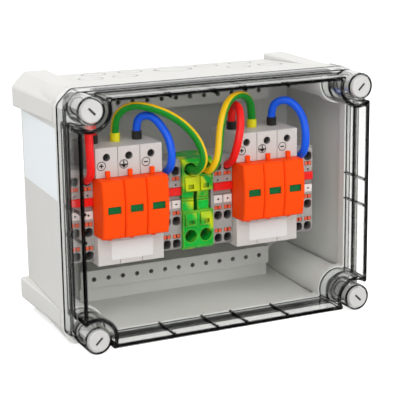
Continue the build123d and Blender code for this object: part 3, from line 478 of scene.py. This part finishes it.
class COMBINER_OT_stage(bpy.types.Operator):
    """Floor, studio light and camera"""
    bl_idname = "combiner.stage"
    bl_label = "Stage"

    def execute(self, context):
        scene = context.scene
        scene.view_settings.view_transform = "Standard"
        low, high = (Vector(corner) for corner in cad_box)
        self.floor(low.z)
        self.world(scene)
        aim = (low + high) / 2
        for lamp in LAMPS:
            self.lamp(aim, *lamp)
        camera = bpy.data.cameras.new("camera")
        camera.lens = CAMERA_LENS
        camera.sensor_width = 36.0
        eye = bpy.data.objects.new("camera", camera)
        eye.location = CAMERA_PLACE
        eye.rotation_euler = Euler([math.radians(a) for a in CAMERA_TURN])
        scene.collection.objects.link(eye)
        scene.camera = eye
        return {"FINISHED"}

    @staticmethod
    def floor(height):
        mesh = bmesh.new()
        bmesh.ops.create_grid(mesh, x_segments=1, y_segments=1, size=FLOOR_SIZE,
                              matrix=Matrix.Translation((0, 0, height - FLOOR_DROP)))
        data = bpy.data.meshes.new("floor")
        mesh.to_mesh(data)
        mesh.free()
        floor = bpy.data.objects.new("floor", data)
        bpy.context.scene.collection.objects.link(floor)
        material, tree = new_material("white_paper_sweep")
        path = add(tree, "ShaderNodeLightPath")
        seen = add(tree, "ShaderNodeMath", {0: path.outputs["Is Camera Ray"],
                                            1: path.outputs["Is Transmission Ray"]}, operation="MAXIMUM")
        lift = add(tree, "ShaderNodeMath", {0: seen.outputs[0], 1: PAPER_LIFT}, operation="MULTIPLY")
        paper = add(tree, "ShaderNodeBsdfPrincipled", {
            "Base Color": (0.86, 0.86, 0.86, 1.0), "Roughness": 0.9, "Emission Color": (1, 1, 1, 1),
            "Emission Strength": lift.outputs[0]})
        # In mirrored light the floor is a black card, which keeps glare off the clear cover. Other shiny faces
        # mirror it too.
        mirrored = add(tree, "ShaderNodeMath", {0: path.outputs["Glossy Depth"],
                                                1: path.outputs["Is Diffuse Ray"]},
                       operation="SUBTRACT", use_clamp=True)
        card = add(tree, "ShaderNodeEmission", {"Color": (0.02, 0.02, 0.02, 1.0)})
        close(tree, add(tree, "ShaderNodeMixShader", {0: mirrored.outputs[0], 1: paper.outputs[0],
                                                     2: card.outputs[0]}))
        data.materials.append(material)

    @staticmethod
    def world(scene):
        """White behind the object as it is seen, and a darker room in front of it for reflections."""
        world = bpy.data.worlds.new("studio")
        world.use_nodes = True
        tree = world.node_tree
        tree.nodes.clear()
        way = add(tree, "ShaderNodeSeparateXYZ", {0: add(tree, "ShaderNodeTexCoord").outputs["Generated"]})
        behind = add(tree, "ShaderNodeMapRange", {"Value": way.outputs[1], "From Min": 0.15, "From Max": 0.45,
                                                  "To Min": 0.03, "To Max": 1.0})
        path = add(tree, "ShaderNodeLightPath")
        ambient = add(tree, "ShaderNodeMix", {0: path.outputs["Is Diffuse Ray"], 2: behind.outputs[0],
                                              3: AMBIENT})
        strength = add(tree, "ShaderNodeMix", {0: path.outputs["Is Camera Ray"], 2: ambient.outputs[0],
                                               3: 1.0})
        shade = add(tree, "ShaderNodeBackground", {"Color": (1, 1, 1, 1), "Strength": strength.outputs[0]})
        add(tree, "ShaderNodeOutputWorld", {"Surface": shade.outputs[0]})
        scene.world = world

    @staticmethod
    def lamp(aim, name, place, size, power, mirrored):
        """A soft box; one that isn't mirrored leaves no bright patch in the clear cover."""
        data = bpy.data.lights.new(name, "AREA")
        data.size = size
        data.energy = power
        lamp = bpy.data.objects.new(name, data)
        lamp.location = place
        lamp.rotation_euler = (aim - Vector(place)).to_track_quat("-Z", "Y").to_euler()
        lamp.visible_glossy = mirrored
        bpy.context.scene.collection.objects.link(lamp)


class COMBINER_OT_case(bpy.types.Operator):
    """Case, gasket, inserts and the bare rating plate"""
    bl_idname = "combiner.case"
    bl_label = "Case"

    def execute(self, context):
        # Light grey polycarbonate, moulded with a fine matt grain, with painted shade in its recesses and holes
        dress(moulded("grey_polycarbonate", colours().case, roughness=0.48, grain=0.5, depth=0.03, uneven=0.02,
                       shade=0.45),
              "base_shell", "corner_columns", "mounting_ledges")
        # Foamed polyurethane bead: dark, dull and slightly open
        dress(moulded("polyurethane_gasket", srgb("#1b1b1a"), roughness=0.85, grain=0.8, depth=0.2),
              "cover_gasket")
        # Acetal ring: grey with a waxy shine
        dress(moulded("acetal_insert", srgb("#8f8f8c"), roughness=0.35), "knob_inserts")
        # Polyester film with nothing printed on it: smooth, bluish white
        film = moulded("polyester_label_film", srgb("#eef3f5"), roughness=0.5, grain=1.5, depth=0.002,
                       uneven=0.01)
        mesh = bmesh.new()
        half = 0.5 * sizes().label_thickness
        plate(mesh, (-half, SIDE_LABEL_Y[0] * MM, SIDE_LABEL_Z[0] * MM),
              (half, SIDE_LABEL_Y[1] * MM, SIDE_LABEL_Z[1] * MM))
        lean = Matrix.Rotation(math.radians(-WALL_DRAFT), 4, "Z")
        bmesh.ops.transform(mesh, matrix=Matrix.Translation((WALL_X * MM, 0, 0)) @ lean, verts=mesh.verts)
        new_piece("side_label", mesh, film, "case")
        return {"FINISHED"}


class COMBINER_OT_cover(bpy.types.Operator):
    """Clear cover"""
    bl_idname = "combiner.cover"
    bl_label = "Cover"

    def execute(self, context):
        # Clear polycarbonate, polished, with painted dark lines along its edges
        dress(clear_polycarbonate(), "cover")
        return {"FINISHED"}


class COMBINER_OT_knobs(bpy.types.Operator):
    """Four quarter-turn knobs"""
    bl_idname = "combiner.knobs"
    bl_label = "Knobs"

    def execute(self, context):
        # Glass-filled polyamide, pale grey, semi-gloss
        material = moulded("polyamide_knob", colours().knob, roughness=0.35, grain=0.4, depth=0.015,
                           uneven=0.02)
        dress(material, *[f"cover_knob_{corner}" for corner in ("tl", "tr", "bl", "br")])
        return {"FINISHED"}


class COMBINER_OT_rail(bpy.types.Operator):
    """Mounting rail and its screws"""
    bl_idname = "combiner.rail"
    bl_label = "Rail"

    def execute(self, context):
        # Steel strip and screws, zinc plated
        dress(plated("zinc_plated_rail", srgb("#b9b9b4")), "din_rail")
        dress(plated("zinc_plated_screws", srgb("#a8a8a4"), roughness=0.3), "rail_screws")
        return {"FINISHED"}


class COMBINER_OT_arresters(bpy.types.Operator):
    """Arrester bases with their labels and polarity signs"""
    bl_idname = "combiner.arresters"
    bl_label = "Arresters"

    def execute(self, context):
        # Grey polyamide: matt, with deep painted shade in its screw holes and wire entries
        base = moulded("grey_polyamide_base", colours().arrester, roughness=0.45, uneven=0.02, reach=6.0,
                       shade=0.08)
        dress(base, *[f"surge_base_{side}" for side in ARRESTERS])
        # Dark glass-filled polyamide
        dress(moulded("dark_polyamide_latch", srgb("#55534f"), roughness=0.5),
              *[f"rail_latch_{side}" for side in ARRESTERS])
        # Copper contacts, tinned
        dress(plated("tinned_copper", srgb("#c9c6bd"), roughness=0.25),
              *[f"contact_clips_{side}" for side in ARRESTERS],
              *[f"module_blades_{side}_{pole}" for side in ARRESTERS for pole in POLES])
        # Steel screws, dull and dark grey: painted shade at the bottom of their holes
        dress(moulded("dark_screw_painted_shade", srgb("#383532"), roughness=0.65, grain=0.2), "terminal_screws")
        # Dull black pad-printing ink, and label film with nothing printed on it
        ink = moulded("black_pad_print", srgb("#1c1a1a"), roughness=0.6)
        paper = moulded("white_label_film", srgb("#dcd9d8"), roughness=0.5, grain=1.5, depth=0.002,
                        uneven=0.01)
        for side in ARRESTERS:
            low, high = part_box(f"surge_base_{side}")
            self.label(side, low, paper)
            self.signs(side, low, high, ink)
        return {"FINISHED"}

    @staticmethod
    def label(side, low, paper):
        mesh = bmesh.new()
        thick = sizes().label_thickness
        plate(mesh, (low.x + ARRESTER_LABEL_X[0] * MM, low.y - thick, low.z + ARRESTER_LABEL_Z[0] * MM),
              (low.x + ARRESTER_LABEL_X[1] * MM, low.y, low.z + ARRESTER_LABEL_Z[1] * MM),
              radius=ARRESTER_LABEL_CORNER * MM)
        new_piece(f"arrester_label_{side}", mesh, paper, "case")

    @staticmethod
    def signs(side, low, high, ink):
        """A ring with a plus, an earth arrow or a minus in it, on each pole."""
        mesh = bmesh.new()
        radius = sizes().mark_radius
        thick, bar, half = INK * MM, MARK_BAR * MM, MARK_HALF * MM
        pitch = (high.x - low.x) / 3
        for pole in range(3):
            x = low.x + pole * pitch + MARK_IN * MM
            z = high.z - MARK_DOWN * MM
            y = low.y
            ring(mesh, (x, y, z), radius, radius - MARK_LINE * MM, thick)
            if pole in (0, 2):
                plate(mesh, (x - bar, y - thick, z - half), (x + bar, y, z + half))
            if pole == 0:
                plate(mesh, (x - half, y - thick, z - bar), (x + half, y, z + bar))
            if pole == 1:
                plate(mesh, (x - half, y - thick, z - bar), (x + half, y, z + EARTH_STEM * bar))
                for step, reach in enumerate(EARTH_STEPS):
                    drop = z - bar * (EARTH_FIRST + EARTH_DROP * step)
                    plate(mesh, (x - reach * bar, y - thick, drop - half), (x + reach * bar, y, drop + half))
        new_piece(f"polarity_signs_{side}", mesh, ink, "case")


class COMBINER_OT_modules(bpy.types.Operator):
    """Plug-in modules and their status flags"""
    bl_idname = "combiner.modules"
    bl_label = "Modules"

    def execute(self, context):
        # Dyed polyamide: its colour is deep and its shine weak
        orange = moulded("orange_polyamide", colours().module, roughness=0.5, grain=0.4, depth=0.02,
                         uneven=0.03, **{"Specular IOR Level": 0.08})
        low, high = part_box("status_flag_left_1")
        flag = printed_flag(colours().flag, colours().flag_failed, (low.z + high.z) / 2)
        for side in ARRESTERS:
            for pole in POLES:
                dress(orange, f"plug_module_{side}_{pole}")
                dress(flag, f"status_flag_{side}_{pole}")
        return {"FINISHED"}


class COMBINER_OT_terminals(bpy.types.Operator):
    """Rail terminals with pushers, bridges, tags and end plates"""
    bl_idname = "combiner.terminals"
    bl_label = "Terminals"

    def execute(self, context):
        # Polyamide throughout, with pushers and bridges glossier than the bodies, and painted shade deep in the
        # bodies' wire holes
        grey = moulded("grey_polyamide_terminal", colours().terminal, roughness=0.5, uneven=0.03, reach=9.0,
                       shade=0.3)
        dress(grey, "end_plates", *[f"terminals_{pair}" for pair in PAIRS])
        dress(moulded("orange_pusher", colours().pusher, roughness=0.4), *[f"pushers_{pair}" for pair in PAIRS])
        dress(moulded("red_bridge", colours().bridge, roughness=0.3), "bridges")
        dress(moulded("white_tag", srgb("#e9e4e0"), roughness=0.45), "marker_tags")
        self.tag_signs()
        return {"FINISHED"}

    @staticmethod
    def tag_signs():
        """A small plus or minus in the middle of each tag."""
        low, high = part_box("marker_tags")
        z = (low.z + high.z) / 2
        y = low.y
        thick, bar, half = INK * MM, TAG_BAR * MM, TAG_HALF * MM
        mesh = bmesh.new()
        for x, sign in TAG_SIGNS:
            plate(mesh, (x * MM - bar, y - thick, z - half), (x * MM + bar, y, z + half))
            if sign == "plus":
                plate(mesh, (x * MM - half, y - thick, z - bar), (x * MM + half, y, z + bar))
        new_piece("tag_signs", mesh, moulded("black_tag_print", srgb("#1c1a1a"), roughness=0.6), "case")


class COMBINER_OT_earth_terminals(bpy.types.Operator):
    """Green and yellow earth terminals"""
    bl_idname = "combiner.earth_terminals"
    bl_label = "Earth terminals"

    def execute(self, context):
        # Polyamide in two colours that flowed together in the mould, with a painted yellow highlight on the
        # edges and painted shade in the recesses
        dress(mottled_polyamide("green_polyamide_earth", colours().earth, colours().earth_lever, 0.56),
              "earth_terminals")
        dress(mottled_polyamide("yellow_polyamide_earth", colours().earth, colours().earth_lever, 0.5),
              "earth_pushers")
        return {"FINISHED"}


class COMBINER_OT_wires(bpy.types.Operator):
    """Six wires from the arresters to the terminals, and their ferrules"""
    bl_idname = "combiner.wires"
    bl_label = "Wires"

    def execute(self, context):
        red = insulation("red_pvc_insulation", colours().wire_red)
        blue = insulation("blue_pvc_insulation", colours().wire_blue)
        earth = insulation("green_yellow_pvc_insulation", colours().wire_green, colours().wire_yellow)
        looks = {"red": (red, "wire_red"), "blue": (blue, "wire_blue"), "earth": (earth, "wire_green_yellow")}
        for name, route in WIRE_ROUTES.items():
            material, slot = looks[name.split("_")[1]]
            wire = spline_wire(f"{name}_insulation", route, sizes().wire_radius, material,
                               WIRE_TURNS.get(name, 0.0))
            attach(wire, "case")
            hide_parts(name)
        # Moulded polypropylene collars
        dress(moulded("black_ferrule_collar", srgb("#1d1b1a"), roughness=0.4), "ferrules_black")
        dress(moulded("yellow_ferrule_collar", srgb("#e2d800"), roughness=0.4), "ferrules_yellow")
        return {"FINISHED"}


class COMBINER_PT_panel(bpy.types.Panel):
    """Sizes, colours and steps of the combiner box"""
    bl_idname = "COMBINER_PT_panel"
    bl_label = "Combiner box"
    bl_space_type = "VIEW_3D"
    bl_region_type = "UI"
    bl_category = "Combiner"

    def draw(self, context):
        for group in (context.scene.combiner_sizes, context.scene.combiner_colours):
            for key in group.__annotations__:
                self.layout.prop(group, key)
        for step in STEPS:
            self.layout.operator(step.bl_idname)


STEPS = (COMBINER_OT_stage, COMBINER_OT_wires, COMBINER_OT_case, COMBINER_OT_cover, COMBINER_OT_knobs,
         COMBINER_OT_rail, COMBINER_OT_arresters, COMBINER_OT_modules, COMBINER_OT_terminals,
         COMBINER_OT_earth_terminals)
CLASSES = (CombinerSizes, CombinerColours, *STEPS, COMBINER_PT_panel)


def register():
    for kind in CLASSES:
        bpy.utils.register_class(kind)
    bpy.types.Scene.combiner_sizes = bpy.props.PointerProperty(type=CombinerSizes)
    bpy.types.Scene.combiner_colours = bpy.props.PointerProperty(type=CombinerColours)


def unregister():
    del bpy.types.Scene.combiner_colours
    del bpy.types.Scene.combiner_sizes
    for kind in reversed(CLASSES):
        bpy.utils.unregister_class(kind)


def main():
    register()
    for step in STEPS:
        getattr(bpy.ops.combiner, step.bl_idname.split(".")[1])()


if __name__ == "__main__":
    main()
